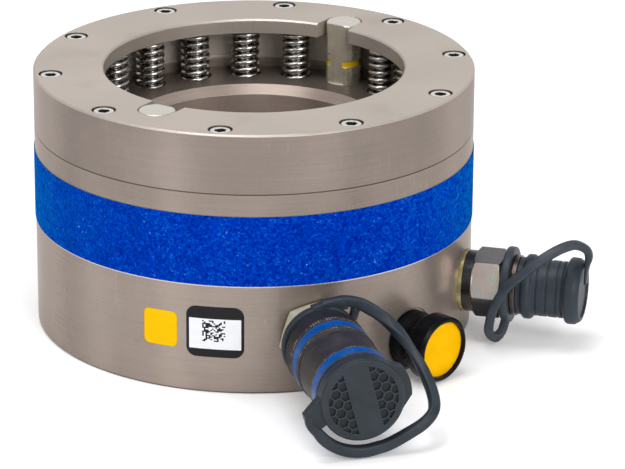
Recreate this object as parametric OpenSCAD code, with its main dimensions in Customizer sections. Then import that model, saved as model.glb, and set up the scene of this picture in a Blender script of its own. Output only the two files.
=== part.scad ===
// Hydraulic bolt tensioner. Oil lifts an annular piston in the cylinder, and springs under the top ring
// push it back. A quick coupler, a coupling nipple and a knob stand on the side, near the base.
// Millimetres. The base lies on z = 0, the axis is Z, and the front of the tool faces -Y.

/* [Cylinder] */
// Outside diameter of the cylinder and the top ring
body_diameter = 204; // [200:1:212]
// Height of the seam between the cylinder and the top ring
seam_height = 94.5; // [90:0.1:100]
// Wall of the cylinder round the piston head
cylinder_wall = 13.5; // [13:0.25:14]
// Width of the step between the head's bore and the skirt's
step_width = 20.5; // [18.5:0.5:22.5]
// Height of the step between the two bores
step_height = 33; // [33:0.5:36]
// Height of the register lip above the seam
lip_height = 4; // [2:0.5:6]
// Wall of the register lip
lip_wall = 1.5; // [1:0.1:1.8]
// Bevel on outside edges
edge_bevel = 0.8; // [0.4:0.1:1.5]
// Radial gap of a sliding fit
running_clearance = 0.05; // [0.02:0.01:0.09]
// Gap of a located or screwed fit
location_clearance = 0.05; // [0.02:0.01:0.1]

/* [Top ring] */
// Height of the top ring above the seam
ring_height = 27.6; // [26:0.2:32]
// Thickness of the plate at the top of the ring
plate_thickness = 7; // [6.8:0.2:9]
// Width of the plate, from the outside to its hole
plate_width = 32.4; // [31:0.2:35]

/* [Ring screws] */
// Number of screws
screw_count = 10; // [8:1:12]
// Distance of the screws from the outside
screw_inset = 7.6; // [7:0.1:8]
// Direction of the first screw
screw_angle = 9; // [0:1:12]
// Thread diameter
screw_diameter = 6; // [5:0.5:6]
// Diameter of the screw heads
screw_head_diameter = 10; // [9:0.5:10]
// Height of the screw heads
screw_head_height = 6; // [5:0.5:6]
// Width of the hexagon sockets across flats
screw_socket = 5; // [4:0.5:5]
// Length under the head
screw_length = 40; // [35:1:45]
// Radial gap round a screw head in its counterbore
head_gap = 0.4; // [0.2:0.1:0.6]

/* [Grip band] */
// Height of the lower edge
band_bottom = 51.5; // [48:0.1:55]
// Width of the band
band_width = 32.7; // [28:0.1:34]
// Thickness of the band
band_thickness = 1; // [0.8:0.1:1.4]
// Depth of the groove that it lies in
band_groove = 0.6; // [0.4:0.1:0.7]

/* [Piston] */
// Wall of the skirt round the bore for the puller
skirt_wall = 11.5; // [11:0.5:13]
// Drop from the underside of the plate to the ledge
ledge_drop = 22.6; // [21:0.2:26]
// Depth of the bevelled seat, at 45 degrees
seat_depth = 4; // [3:0.5:6]
// Height of the skirt above the base
skirt_lift = 3; // [2:0.5:4]
// Oil gallery bevel under the head
gallery_bevel = 5; // [4.5:0.5:6]
// Travel of the piston
piston_stroke = 18; // [12:1:18]

/* [Seals] */
// Depth of the seal grooves
seal_depth = 4.5; // [4:0.1:5]
// Height of the lip seals
seal_height = 5; // [4:0.5:5]
// Thickness of the back-up rings
backup_thickness = 2; // [1.5:0.1:2]
// Distance of the head groove above the step
head_groove_rise = 12; // [10:1:16]
// Distance of the skirt groove above the skirt's end
skirt_groove_rise = 3; // [2:0.5:3]

/* [Return springs] */
// Places on the spring circle, springs and pins together
station_count = 20; // [16:4:20]
// Distance of the spring circle inside the head's bore
spring_inset = 9.2; // [9:0.1:10]
// Outside diameter of a spring
spring_diameter = 13.2; // [12.6:0.1:13.8]
// Diameter of the spring wire
spring_wire = 2; // [1.8:0.1:2]
// Number of turns
spring_turns = 13; // [10:1:13]
// Diameter of the pockets in the piston
pocket_diameter = 16; // [15:0.1:16.4]
// Depth of the pockets below the ledge
pocket_depth = 24; // [24:0.5:28]
// Gap between a spring's ends and what they press on
spring_end_gap = 0.05; // [0.02:0.01:0.1]
// Diameter of the guide rods
rod_diameter = 8; // [6:0.2:8]
// Depth of the rods in the plate
rod_seat = 4; // [3:0.2:5]
// Gap between a rod and its pocket's floor at full stroke
rod_gap = 1; // [0.5:0.1:2]

/* [Stroke pins] */
// Direction of the first pin, with the other one opposite
pin_angle = 57; // [50:1:64]
// Diameter of the pins
pin_diameter = 16.6; // [15:0.1:16.8]
// Distance of the flat from the pin's axis
pin_flat = 6.8; // [6:0.1:7]
// Height of the painted mark
mark_height = 3; // [2:0.5:4]
// Depth of the painted mark
mark_depth = 0.8; // [0.5:0.1:1]
// Gap round the pins in their slots
slot_gap = 0.4; // [0.3:0.1:0.5]

/* [Side ports] */
// Depth of the flats milled for the fittings
spot_depth = 1.2; // [1.1:0.1:1.6]
// Diameter of those flats
spot_diameter = 29; // [28.6:0.2:30]
// Thread diameter of the ports
port_diameter = 13.2; // [12:0.2:13.2]
// Depth of the ports
port_depth = 10; // [9:0.5:10]
// Diameter of the oil ways
oil_way = 4; // [3:0.5:4]
// Thickness of the sealing washers
washer_thickness = 2.2; // [1.6:0.1:3]

/* [Coupler] */
// Direction of the coupler
coupler_angle = -75; // [-80:1:-72]
// Height of its axis
coupler_height = 28; // [28:0.5:30]
// Hexagon across flats
coupler_hex = 29; // [27:1:32]
// Turn of the hexagon about its axis
coupler_hex_turn = 43; // [0:1:59]
// Length of the hexagon
coupler_hex_length = 10; // [8:0.5:12]
// Diameter of the strap's seat, which guides the sleeve's rear end
coupler_land_diameter = 30.4; // [30:0.2:31]
// Diameter of the barrel that carries the balls
coupler_barrel_diameter = 25.8; // [25:0.2:26]
// Diameter of the socket for a nipple
socket_diameter = 20; // [19:0.2:20.4]
// Outside diameter of the sleeve
sleeve_diameter = 37; // [36:0.5:40]
// Length of the sleeve
sleeve_length = 50; // [48:0.5:52]
// Travel of the sleeve
sleeve_travel = 4.4; // [4:0.1:4.4]
// Width of the blue bands
sleeve_band_width = 6; // [4:0.5:6.5]
// Thickness of the blue bands
sleeve_band_thickness = 0.8; // [0.6:0.1:1]
// Number of locking balls
ball_count = 8; // [6:1:8]
// Diameter of the locking balls
ball_diameter = 3.9; // [3.5:0.1:3.9]
// Thickness of the snap ring
snap_thickness = 1.2; // [1:0.1:1.4]
// Wire of the sleeve's spring
sleeve_spring_wire = 1.5; // [1.3:0.1:1.5]
// Outside diameter of the sealing washer
coupler_washer_diameter = 26; // [25:0.5:28]

/* [Coupler cap] */
// Diameter of the cap's disc
cap_disc_diameter = 37.8; // [36:0.2:39]
// Thickness of the disc
cap_disc_thickness = 8.5; // [7:0.5:10]
// Length of the plug in the socket
cap_plug_length = 17.5; // [12:0.5:17.5]
// Reach of the finger tab past the disc
cap_tab_reach = 3.2; // [2:0.1:4]
// Reach of the web that the strap starts from past the disc
cap_web_reach = 7.3; // [6:0.1:8]
// Half the width of the bare bar across the disc
comb_bar = 5.6; // [4:0.1:7]
// Bare margin round the recesses
comb_margin = 3.3; // [2.5:0.1:5]
// Hexagon recess across flats
comb_cell = 4; // [3.4:0.1:4.4]
// Wall between the recesses
comb_wall = 0.6; // [0.4:0.1:1]
// Depth of the recesses
comb_depth = 1; // [0.5:0.1:2]

/* [Nipple] */
// Direction of the nipple
nipple_angle = -16; // [-20:1:-10]
// Height of its axis
nipple_height = 26; // [25.5:0.5:28]
// Hexagon across flats
nipple_hex = 28; // [27:1:32]
// Turn of the hexagon about its axis
nipple_hex_turn = 38; // [0:1:59]
// Length of the round collar behind the hexagon
nipple_collar_length = 4.3; // [3:0.1:6]
// Length of the hexagon
nipple_hex_length = 13.5; // [12:0.5:15]
// Diameter of the strap's seat
nipple_neck_diameter = 25; // [24:0.5:26]
// Diameter of the bright flange
nipple_flange_diameter = 28; // [26:0.5:29]
// Thickness of the bright flange
nipple_flange_thickness = 2; // [1.5:0.1:2.5]
// Length of the nipple's nose
nose_length = 19.5; // [18:0.5:20]
// Diameter of the nose
nose_diameter = 19.8; // [18:0.2:20]
// Diameter of the cap's rim
nipple_cap_rim = 30; // [29:0.5:32]
// Diameter of the cap's end flange
nipple_cap_flange = 31; // [29.4:0.2:33]
// Length of the cap
nipple_cap_length = 30; // [28:0.5:30]

/* [Valves] */
// Travel of the poppets
poppet_travel = 3; // [2:0.5:3]
// Radial gap round the poppets
poppet_gap = 0.1; // [0.05:0.01:0.2]

/* [Straps] */
// Thickness of the straps
strap_thickness = 4.6; // [3.6:0.1:4.6]
// Width of the rings at their ends
strap_ring_width = 4; // [3:0.5:4]
// Wall of the coupler's ring
coupler_ring_wall = 2.8; // [2.4:0.1:4]
// Wall of the nipple's ring
nipple_ring_wall = 5.1; // [4:0.1:5.4]

/* [Knob] */
// Direction of the knob
knob_angle = -46; // [-48:1:-44]
// Height of its axis
knob_height = 15.6; // [15.4:0.1:18]
// Diameter of the rim
knob_diameter = 30.4; // [28:0.2:30.6]
// Diameter of the foot
knob_foot_diameter = 26; // [22:0.5:26]
// Length of the knob
knob_length = 22.4; // [20:0.2:24]
// Wall of the rim round the disc
knob_rim_wall = 2.2; // [1.6:0.1:3]
// Drop of the disc below the rim
knob_disc_drop = 2; // [1:0.1:3]
// Thickness of the disc
knob_disc_thickness = 1.2; // [0.8:0.1:2]
// Diameter of the stud
stud_diameter = 8; // [6:0.5:8]
// Depth of the stud in the body
stud_depth = 12; // [8:0.5:12]

/* [Hidden] */
$fn = 96;
eps = 0.01;
body_r = body_diameter / 2;
head_bore_r = body_r - cylinder_wall;
skirt_bore_r = head_bore_r - step_width;
hole_r = body_r - plate_width;
screw_circle_r = body_r - screw_inset;
bore_r = skirt_bore_r - skirt_wall;
head_r = head_bore_r - running_clearance;
skirt_r = skirt_bore_r - running_clearance;
lip_r = head_bore_r + lip_wall;
total_height = seam_height + ring_height;
plate_under = total_height - plate_thickness;
ledge_z = plate_under - ledge_drop;
pocket_floor = ledge_z - pocket_depth;
screw_seat = total_height - screw_head_height - 0.4;
spring_circle_r = head_bore_r - spring_inset;
spring_r = (spring_diameter - spring_wire) / 2;
spring_length = plate_under - pocket_floor - 2 * spring_end_gap;
station_step = 360 / station_count;
bank_count = station_count / 2 - 1;
groove_height = seal_height + backup_thickness;
spot_s = body_r - spot_depth;
port_floor = spot_s - port_depth;
gallery_r = head_bore_r - oil_way / 2 - 0.3;
fitting_s = spot_s + washer_thickness;
port_r = port_diameter / 2;

// Stations along the coupler's axis, measured from the tool's axis
coupler_hex_end = fitting_s + coupler_hex_length;
sleeve_rear = coupler_hex_end + strap_ring_width + sleeve_travel + 0.4;
sleeve_front = sleeve_rear + sleeve_length;
barrel_front = sleeve_front - 2;
ball_s = sleeve_front - 12;
release_s = ball_s + ball_diameter / 2 + 0.35;
sleeve_spring_front = sleeve_rear + 23;
land_end = sleeve_rear + 2;
sleeve_spring_r = (coupler_barrel_diameter + coupler_land_diameter) / 4;
sleeve_spring_turns = 5;
coupler_chamber_r = 7;
coupler_seat_r = 8;
coupler_seat_s = sleeve_front - 25;
coupler_seat_length = 3;
coupler_nose_r = 4.4;
coupler_chamber_s = coupler_seat_s - 27;
cap_front = sleeve_front + cap_disc_thickness;

// Stations along the nipple's axis
nipple_hex_s = fitting_s + nipple_collar_length;
nipple_hex_end = nipple_hex_s + nipple_hex_length;
nipple_flange_s = nipple_hex_end + strap_ring_width + 1;
nose_s = nipple_flange_s + nipple_flange_thickness;
nose_front = nose_s + nose_length;
nipple_chamber_r = 6;
nipple_seat_r = 7.2;
nipple_seat_length = 4.8;
nipple_seat_s = nose_front - nipple_seat_length;
nipple_nose_r = 3.5;
nipple_chamber_s = nipple_seat_s - 30;
nipple_cap_front = nose_s + nipple_cap_length;

// Puts a piece that is drawn along Z on a side fitting's axis, with Z pointing away from the tool
module on_side(angle, height) {
  rotate([0, 0, angle]) translate([0, 0, height]) rotate([0, 90, 0]) children();
}

// A turned piece from an outline of radius and station
module turned(outline) {
  rotate_extrude() polygon(outline);
}

// A plain ring between two stations
module ring(inner_r, outer_r, from, to) {
  turned([[inner_r, from], [outer_r, from], [outer_r, to], [inner_r, to]]);
}

// Half a turn of wire: a half circle tilted about Y, so that it climbs with the given slope
module half_turn(r, wire, slope, side) {
  translate([0, 0, r * slope]) rotate([0, side * asin(slope), 0]) rotate([0, 0, side > 0 ? 0 : 180])
    rotate_extrude(angle = 180, $fn = 48) translate([r, 0]) circle(d = wire, $fn = 24);
}

// A coil spring that stands on z = 0. Radius and slope are rounded, so that the half turns meet exactly.
module coil(mean_r, wire, length, turns) {
  r = round(10 * mean_r) / 10;
  slope = floor(500 * (length - wire) / (turns * r)) / 2000;
  for (half = [0 : 2 * turns - 1])
    translate([0, 0, wire / 2 + 2 * half * r * slope])
      half_turn(r, wire, slope, half % 2 == 0 ? 1 : -1);
}

// Repeats a piece at one bank of springs, between one pin and the next
module at_bank(first_angle) {
  for (i = [1 : bank_count])
    rotate([0, 0, first_angle + i * station_step]) translate([spring_circle_r, 0, 0]) children();
}

module at_springs() {
  at_bank(pin_angle) children();
  at_bank(pin_angle + 180) children();
}

module at_pins() {
  for (turn = [0, 180])
    rotate([0, 0, pin_angle + turn]) translate([spring_circle_r, 0, 0]) children();
}

module at_screws() {
  for (i = [0 : screw_count - 1])
    rotate([0, 0, screw_angle + i * 360 / screw_count]) translate([screw_circle_r, 0, 0])
      children();
}

// A milled flat, a threaded port and an oil way that turns up into the gallery
module port(angle, height) {
  on_side(angle, height) {
    translate([0, 0, spot_s]) cylinder(d = spot_diameter, h = spot_depth + 1);
    translate([0, 0, port_floor]) cylinder(r = port_r + location_clearance, h = port_depth + 1);
    translate([0, 0, gallery_r]) cylinder(d = oil_way, h = port_floor - gallery_r + 1);
  }
  rotate([0, 0, angle]) translate([gallery_r, 0, height])
    cylinder(d = oil_way, h = step_height - height + eps);
}

module cylinder_body() {
  band_top = band_bottom + band_width;
  groove_r = body_r - band_groove;
  color([0.62, 0.60, 0.57]) difference() {
    turned([
      [skirt_bore_r + edge_bevel, 0], [body_r - edge_bevel, 0], [body_r, edge_bevel],
      [body_r, band_bottom], [groove_r, band_bottom], [groove_r, band_top], [body_r, band_top],
      [body_r, seam_height], [lip_r, seam_height], [lip_r, seam_height + lip_height],
      [head_bore_r, seam_height + lip_height], [head_bore_r, step_height],
      [skirt_bore_r, step_height], [skirt_bore_r, edge_bevel]]);
    at_screws() translate([0, 0, screw_seat - screw_length - 3])
      cylinder(d = screw_diameter + 2 * location_clearance, h = screw_length);
    port(coupler_angle, coupler_height);
    port(nipple_angle, nipple_height);
    on_side(knob_angle, knob_height) {
      translate([0, 0, spot_s]) cylinder(d = knob_foot_diameter + 2, h = spot_depth + 1);
      translate([0, 0, spot_s - stud_depth - 1])
        cylinder(d = stud_diameter + 2 * location_clearance, h = stud_depth + 2);
    }
  }
}

module top_ring() {
  lip_top = seam_height + lip_height + location_clearance;
  slot_r = pin_diameter / 2 + slot_gap;
  color([0.64, 0.62, 0.59]) difference() {
    turned([
      [lip_r + location_clearance, seam_height], [body_r, seam_height],
      [body_r, total_height - edge_bevel], [body_r - edge_bevel, total_height],
      [hole_r + edge_bevel, total_height], [hole_r, total_height - edge_bevel],
      [hole_r, plate_under], [head_bore_r, plate_under], [head_bore_r, lip_top],
      [lip_r + location_clearance, lip_top]]);
    at_screws() {
      translate([0, 0, seam_height - 1]) cylinder(d = screw_diameter + 0.4, h = ring_height + 2);
      translate([0, 0, screw_seat]) cylinder(d = screw_head_diameter + 2 * head_gap, h = 10);
    }
    at_pins() translate([0, 0, plate_under - 1]) {
      cylinder(r = slot_r, h = plate_thickness + 2);
      translate([-spring_circle_r + hole_r - 6, -slot_r, 0])
        cube([spring_circle_r - hole_r + 6, 2 * slot_r, plate_thickness + 2]);
    }
    at_springs() translate([0, 0, plate_under - 1])
      cylinder(d = rod_diameter + 2 * location_clearance, h = rod_seat + 1);
  }
}

module ring_screws() {
  color([0.2, 0.2, 0.21]) at_screws() difference() {
    turned([
      [0, screw_seat - screw_length], [screw_diameter / 2 - 0.8, screw_seat - screw_length],
      [screw_diameter / 2, screw_seat - screw_length + 0.8], [screw_diameter / 2, screw_seat],
      [screw_head_diameter / 2, screw_seat],
      [screw_head_diameter / 2, screw_seat + screw_head_height - 0.6],
      [screw_head_diameter / 2 - 0.6, screw_seat + screw_head_height],
      [0, screw_seat + screw_head_height]]);
    translate([0, 0, screw_seat + screw_head_height / 2])
      cylinder(d = screw_socket / cos(30), h = screw_head_height, $fn = 6);
  }
}

module grip_band() {
  color([0.02, 0.13, 0.6]) ring(body_r - band_groove, body_r - band_groove + band_thickness,
    band_bottom + location_clearance, band_bottom + band_width - location_clearance);
}

module piston() {
  skirt_groove = skirt_lift + skirt_groove_rise;
  head_groove = step_height + head_groove_rise;
  skirt_groove_r = skirt_r - seal_depth;
  head_groove_r = head_r - seal_depth;
  color([0.45, 0.44, 0.42]) difference() {
    turned([
      [bore_r + edge_bevel, skirt_lift], [skirt_r - edge_bevel, skirt_lift],
      [skirt_r, skirt_lift + edge_bevel], [skirt_r, skirt_groove], [skirt_groove_r, skirt_groove],
      [skirt_groove_r, skirt_groove + groove_height], [skirt_r, skirt_groove + groove_height],
      [skirt_r, step_height], [head_r - gallery_bevel, step_height],
      [head_r, step_height + gallery_bevel], [head_r, head_groove], [head_groove_r, head_groove],
      [head_groove_r, head_groove + groove_height], [head_r, head_groove + groove_height],
      [head_r, ledge_z - edge_bevel], [head_r - edge_bevel, ledge_z],
      [bore_r + seat_depth, ledge_z], [bore_r, ledge_z - seat_depth],
      [bore_r, skirt_lift + edge_bevel]]);
    at_springs() translate([0, 0, pocket_floor]) cylinder(d = pocket_diameter, h = pocket_depth + 1);
    at_pins() translate([0, 0, pocket_floor])
      cylinder(d = pin_diameter + 2 * location_clearance, h = pocket_depth + 1);
  }
}

// A lip seal that opens downwards, towards the oil, in a groove on the outside of the piston
module lip_seal(bore_r, from) {
  inner_r = bore_r - running_clearance - seal_depth;
  outer_r = bore_r - running_clearance / 2;
  middle = (inner_r + outer_r) / 2;
  turned([
    [inner_r, from], [inner_r + 1, from], [middle, from + seal_height / 2], [outer_r - 1, from],
    [outer_r, from], [outer_r, from + seal_height], [inner_r, from + seal_height]]);
}

module head_seal() {
  color([0.1, 0.1, 0.1]) lip_seal(head_bore_r, step_height + head_groove_rise);
}

module head_backup_ring() {
  from = step_height + head_groove_rise + seal_height;
  color([0.75, 0.72, 0.62]) ring(head_r - seal_depth, head_bore_r - running_clearance / 2,
    from, from + backup_thickness);
}

module skirt_seal() {
  color([0.1, 0.1, 0.1]) translate([0, 0, 2 * (skirt_lift + skirt_groove_rise) + groove_height])
    mirror([0, 0, 1]) lip_seal(skirt_bore_r, skirt_lift + skirt_groove_rise);
}

module skirt_backup_ring() {
  from = skirt_lift + skirt_groove_rise;
  color([0.75, 0.72, 0.62]) ring(skirt_r - seal_depth, skirt_bore_r - running_clearance / 2,
    from, from + backup_thickness);
}

module return_spring() {
  translate([0, 0, pocket_floor + spring_end_gap]) coil(spring_r, spring_wire, spring_length, spring_turns);
}

module return_springs_left() {
  color([0.55, 0.54, 0.52]) at_bank(pin_angle) return_spring();
}

module return_springs_right() {
  color([0.55, 0.54, 0.52]) at_bank(pin_angle + 180) return_spring();
}

module spring_guide_rods() {
  from = pocket_floor + piston_stroke + rod_gap;
  to = plate_under + rod_seat;
  color([0.6, 0.6, 0.6]) at_springs() turned([
    [0, from], [rod_diameter / 2 - 1, from], [rod_diameter / 2, from + 1], [rod_diameter / 2, to], [0, to]]);
}

module stroke_pins() {
  r = pin_diameter / 2;
  mark_top = total_height - piston_stroke;
  color([0.6, 0.58, 0.55]) at_pins() difference() {
    turned([
      [0, pocket_floor], [r, pocket_floor], [r, mark_top - mark_height],
      [r - mark_depth, mark_top - mark_height], [r - mark_depth, mark_top], [r, mark_top],
      [r, total_height - 0.5], [r - 0.5, total_height], [0, total_height]]);
    translate([-pin_flat - 10, -r - 1, ledge_z]) cube([10, 2 * r + 2, total_height]);
  }
}

module washer(angle, height, diameter) {
  on_side(angle, height) ring(port_r + location_clearance, diameter / 2, spot_s, fitting_s);
}

// A bevelled hexagon between two stations
module hexagon(across_flats, from, to) {
  corner_r = across_flats / 2 / cos(30);
  bevel = corner_r - across_flats / 2;
  intersection() {
    translate([0, 0, from]) cylinder(r = corner_r, h = to - from, $fn = 6);
    turned([
      [0, from - eps], [across_flats / 2, from - eps], [corner_r + eps, from + bevel * 0.58],
      [corner_r + eps, to - bevel * 0.58], [across_flats / 2, to + eps], [0, to + eps]]);
  }
}

module coupler_washer() {
  color([0.75, 0.66, 0.4]) washer(coupler_angle, coupler_height, coupler_washer_diameter);
}

module coupler_body() {
  land_r = coupler_land_diameter / 2;
  barrel_r = coupler_barrel_diameter / 2;
  color([0.72, 0.70, 0.55]) on_side(coupler_angle, coupler_height) difference() {
    union() {
      turned([
        [0, port_floor + 0.2], [port_r - 0.8, port_floor + 0.2], [port_r, port_floor + 1],
        [port_r, fitting_s + 1], [0, fitting_s + 1]]);
      rotate([0, 0, coupler_hex_turn]) hexagon(coupler_hex, fitting_s, coupler_hex_end);
      turned([
        [0, fitting_s + 2], [barrel_r, fitting_s + 2], [barrel_r, coupler_hex_end - 0.5],
        [land_r, coupler_hex_end - 0.5], [land_r, land_end], [barrel_r, land_end],
        [barrel_r, barrel_front - 0.6], [barrel_r - 0.6, barrel_front], [0, barrel_front]]);
    }
    translate([0, 0, port_floor]) cylinder(d = oil_way, h = coupler_chamber_s - port_floor + 1);
    translate([0, 0, coupler_chamber_s])
      cylinder(r = coupler_chamber_r, h = coupler_seat_s - coupler_chamber_s + eps);
    translate([0, 0, coupler_seat_s])
      cylinder(r = coupler_seat_r + location_clearance, h = coupler_seat_length + eps);
    translate([0, 0, coupler_seat_s + coupler_seat_length])
      cylinder(d = socket_diameter, h = barrel_front);
    translate([0, 0, release_s]) ring(barrel_r - 0.6, barrel_r + 1, 0, snap_thickness + 0.1);
    for (i = [0 : ball_count - 1]) translate([0, 0, ball_s]) rotate([0, 0, i * 360 / ball_count])
      rotate([0, 90, 0]) {
        cylinder(d = ball_diameter - 0.2, h = barrel_r + 1);
        translate([0, 0, socket_diameter / 2 + 0.3]) cylinder(d = ball_diameter + 0.1, h = barrel_r);
      }
  }
}

// A screwed-in seat with a hole for the poppet's nose
module valve_seat(seat_r, nose_r, from, length) {
  ring(nose_r + poppet_gap, seat_r, from, from + length);
}

module coupler_valve_seat() {
  color([0.7, 0.68, 0.6]) on_side(coupler_angle, coupler_height)
    valve_seat(coupler_seat_r, coupler_nose_r, coupler_seat_s, coupler_seat_length);
}

// A poppet whose shoulder rests behind its seat, with a nose through it and a stem in its spring
module poppet(chamber_r, nose_r, seat_s, nose_reach) {
  head_r = chamber_r - poppet_gap;
  turned([
    [0, seat_s - 12], [chamber_r / 3, seat_s - 12], [chamber_r / 3, seat_s - 6], [head_r, seat_s - 6],
    [head_r, seat_s], [nose_r, seat_s], [nose_r, seat_s + nose_reach - 0.8],
    [nose_r - 0.8, seat_s + nose_reach], [0, seat_s + nose_reach]]);
}

// The spring that holds a poppet on its seat
module poppet_spring(chamber_r, chamber_s, seat_s) {
  wire = 1;
  turns = 6;
  length = seat_s - 6 - chamber_s - 2 * spring_end_gap;
  translate([0, 0, chamber_s + spring_end_gap])
    coil(chamber_r - 1.4, wire, length, turns);
}

module coupler_poppet() {
  color([0.7, 0.7, 0.7]) on_side(coupler_angle, coupler_height)
    poppet(coupler_chamber_r, coupler_nose_r, coupler_seat_s, 5);
}

module coupler_poppet_spring() {
  color([0.6, 0.6, 0.6]) on_side(coupler_angle, coupler_height)
    poppet_spring(coupler_chamber_r, coupler_chamber_s, coupler_seat_s);
}

module coupler_balls() {
  color([0.8, 0.8, 0.8]) on_side(coupler_angle, coupler_height)
    for (i = [0 : ball_count - 1]) rotate([0, 0, i * 360 / ball_count])
      translate([coupler_barrel_diameter / 2 - ball_diameter / 2, 0, ball_s]) sphere(d = ball_diameter);
}

module coupler_snap_ring() {
  r = coupler_barrel_diameter / 2;
  color([0.5, 0.5, 0.5]) on_side(coupler_angle, coupler_height) difference() {
    ring(r - 0.55, r + 1.3, release_s, release_s + snap_thickness);
    translate([0, -1, release_s - 1]) cube([2 * r, 2, snap_thickness + 2]);
  }
}

// The sleeve has a rear collar, a waisted middle and a front collar, with a blue band in each collar
module coupler_sleeve() {
  r = sleeve_diameter / 2;
  waist = sleeve_rear + 21;
  front = sleeve_front - 8.5;
  bore_r = coupler_barrel_diameter / 2 + running_clearance;
  spring_bore_r = coupler_land_diameter / 2 + running_clearance;
  band_r = r - sleeve_band_thickness;
  rear_band = sleeve_rear + 12;
  front_band = sleeve_front - 1 - sleeve_band_width;
  color([0.13, 0.13, 0.14]) on_side(coupler_angle, coupler_height) turned([
    [spring_bore_r, sleeve_rear], [r - 1, sleeve_rear], [r, sleeve_rear + 1], [r, rear_band],
    [band_r, rear_band], [band_r, rear_band + sleeve_band_width], [r, rear_band + sleeve_band_width],
    [r, waist - 1], [r - 1, waist], [r - 1, waist + 1], [r - 0.5, waist + 1.5], [r - 0.5, front],
    [r, front + 0.5], [r, front_band], [band_r, front_band], [band_r, front_band + sleeve_band_width],
    [r, front_band + sleeve_band_width], [r, sleeve_front - 0.4], [r - 0.4, sleeve_front],
    [bore_r + 2, sleeve_front], [bore_r + 2, release_s], [bore_r, release_s],
    [bore_r, sleeve_spring_front], [spring_bore_r, sleeve_spring_front]]);
}

module sleeve_band(from) {
  r = sleeve_diameter / 2;
  color([0.02, 0.2, 0.62]) on_side(coupler_angle, coupler_height)
    ring(r - sleeve_band_thickness, r, from + location_clearance, from + sleeve_band_width - location_clearance);
}

module coupler_rear_band() {
  sleeve_band(sleeve_rear + 12);
}

module coupler_front_band() {
  sleeve_band(sleeve_front - 1 - sleeve_band_width);
}

module coupler_sleeve_spring() {
  length = sleeve_spring_front - land_end - 2 * spring_end_gap;
  color([0.6, 0.6, 0.6]) on_side(coupler_angle, coupler_height)
    translate([0, 0, land_end + spring_end_gap])
      coil(sleeve_spring_r, sleeve_spring_wire, length, sleeve_spring_turns);
}

// A flat sector round the cap's axis, whose slanted sides are given as points down and across
module cap_sector(reach_r, sides) {
  from = sleeve_front + 2.6;
  thickness = cap_disc_thickness - 4.2;
  intersection() {
    translate([0, 0, from]) cylinder(r = reach_r, h = thickness);
    translate([0, 0, from - 1]) linear_extrude(height = thickness + 2) polygon(sides);
  }
}

// One field of hexagon recesses, cut off by the bare bar and by the margin
module comb_field(field_r) {
  pitch = comb_cell + comb_wall;
  intersection() {
    translate([0, 0, cap_front - comb_depth]) cylinder(r = field_r, h = comb_depth + 1);
    translate([-field_r, comb_bar, cap_front - comb_depth - 1]) cube([2 * field_r, field_r, comb_depth + 3]);
    union() for (row = [0 : 2]) for (column = [-3 : 3])
      translate([(column + (row % 2) / 2) * pitch, comb_bar + 1.3 + row * pitch * cos(30), cap_front - comb_depth - 0.5])
        rotate([0, 0, 30]) cylinder(d = comb_cell / cos(30), h = comb_depth + 2, $fn = 6);
  }
}

// A disc with a finger tab, a web with a round slot's end, a plug behind, and recesses beside a bare bar
module coupler_cap() {
  r = cap_disc_diameter / 2;
  socket_r = socket_diameter / 2;
  plug_end = sleeve_front - cap_plug_length;
  plug_step = release_s + snap_thickness;
  color([0.16, 0.17, 0.18]) on_side(coupler_angle, coupler_height) difference() {
    union() {
      turned([
        [0, plug_end], [socket_r - 2.4, plug_end], [socket_r - 1.6, plug_end + 1],
        [socket_r - 1.6, plug_step], [socket_r - 2 * running_clearance, plug_step + 1],
        [socket_r - 2 * running_clearance, sleeve_front], [r - 1.6, sleeve_front],
        [r, sleeve_front + 2], [r, cap_front - 1], [r - 1, cap_front], [0, cap_front]]);
      cap_sector(r + cap_tab_reach, r * [[0, 0], [0.49, 0.85], [-0.31, 1.38], [-0.56, 1.38], [-0.97, 0]]);
      difference() {
        cap_sector(r + cap_web_reach, r * [[0, 0], [-0.67, -0.53], [0.37, -1.43], [0.93, -1.43]]);
        rotate([0, 0, -57]) translate([0, -r - 1.7, sleeve_front]) cylinder(r = 1.9, h = 2 * cap_disc_thickness);
      }
    }
    rotate([0, 0, 15]) comb_field(r - comb_margin);
    rotate([0, 0, 195]) comb_field(r - comb_margin);
  }
}

// A strap as a chain of short rounded lengths, in stations along, across and above a fitting's axis
module strap(angle, height, route) {
  rotate([0, 0, angle]) translate([0, 0, height]) for (i = [0 : len(route) - 2]) hull() {
    translate(route[i]) sphere(d = strap_thickness, $fn = 10);
    translate(route[i + 1]) sphere(d = strap_thickness, $fn = 10);
  }
}

// The ring that holds a strap on its fitting
module strap_ring(angle, height, seat_r, wall, from) {
  on_side(angle, height) rotate_extrude($fn = 60)
    translate([seat_r + location_clearance, from]) square([wall, strap_ring_width]);
}

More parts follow.
